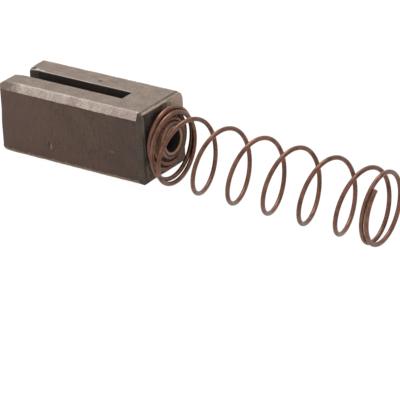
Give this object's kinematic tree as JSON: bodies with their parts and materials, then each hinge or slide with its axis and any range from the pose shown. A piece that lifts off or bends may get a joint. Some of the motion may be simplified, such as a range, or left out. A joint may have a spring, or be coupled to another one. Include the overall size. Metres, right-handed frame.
{
  "type": "carbon brush with spring",
  "caption": "Slotted carbon brush block for a small electric motor, with a left-hand steel compression spring gripping the round spigot on its end.",
  "frame": {"origin": "centre of the contact face, on the axis of the block's section and of the spigot", "axes": "+X from the contact face along the block towards the spring, +Z out of the slotted face, +Y across the block"},
  "size_m": [0.0421, 0.008, 0.0093],
  "materials": {
    "carbon": "pressed and ground carbon, brownish dark grey",
    "spring_steel": "drawn spring wire, brownish oxide"
  },
  "bodies": {
    "root": {"carbon_block": "carbon", "spring": "spring_steel"}
  },
  "joints": []
}
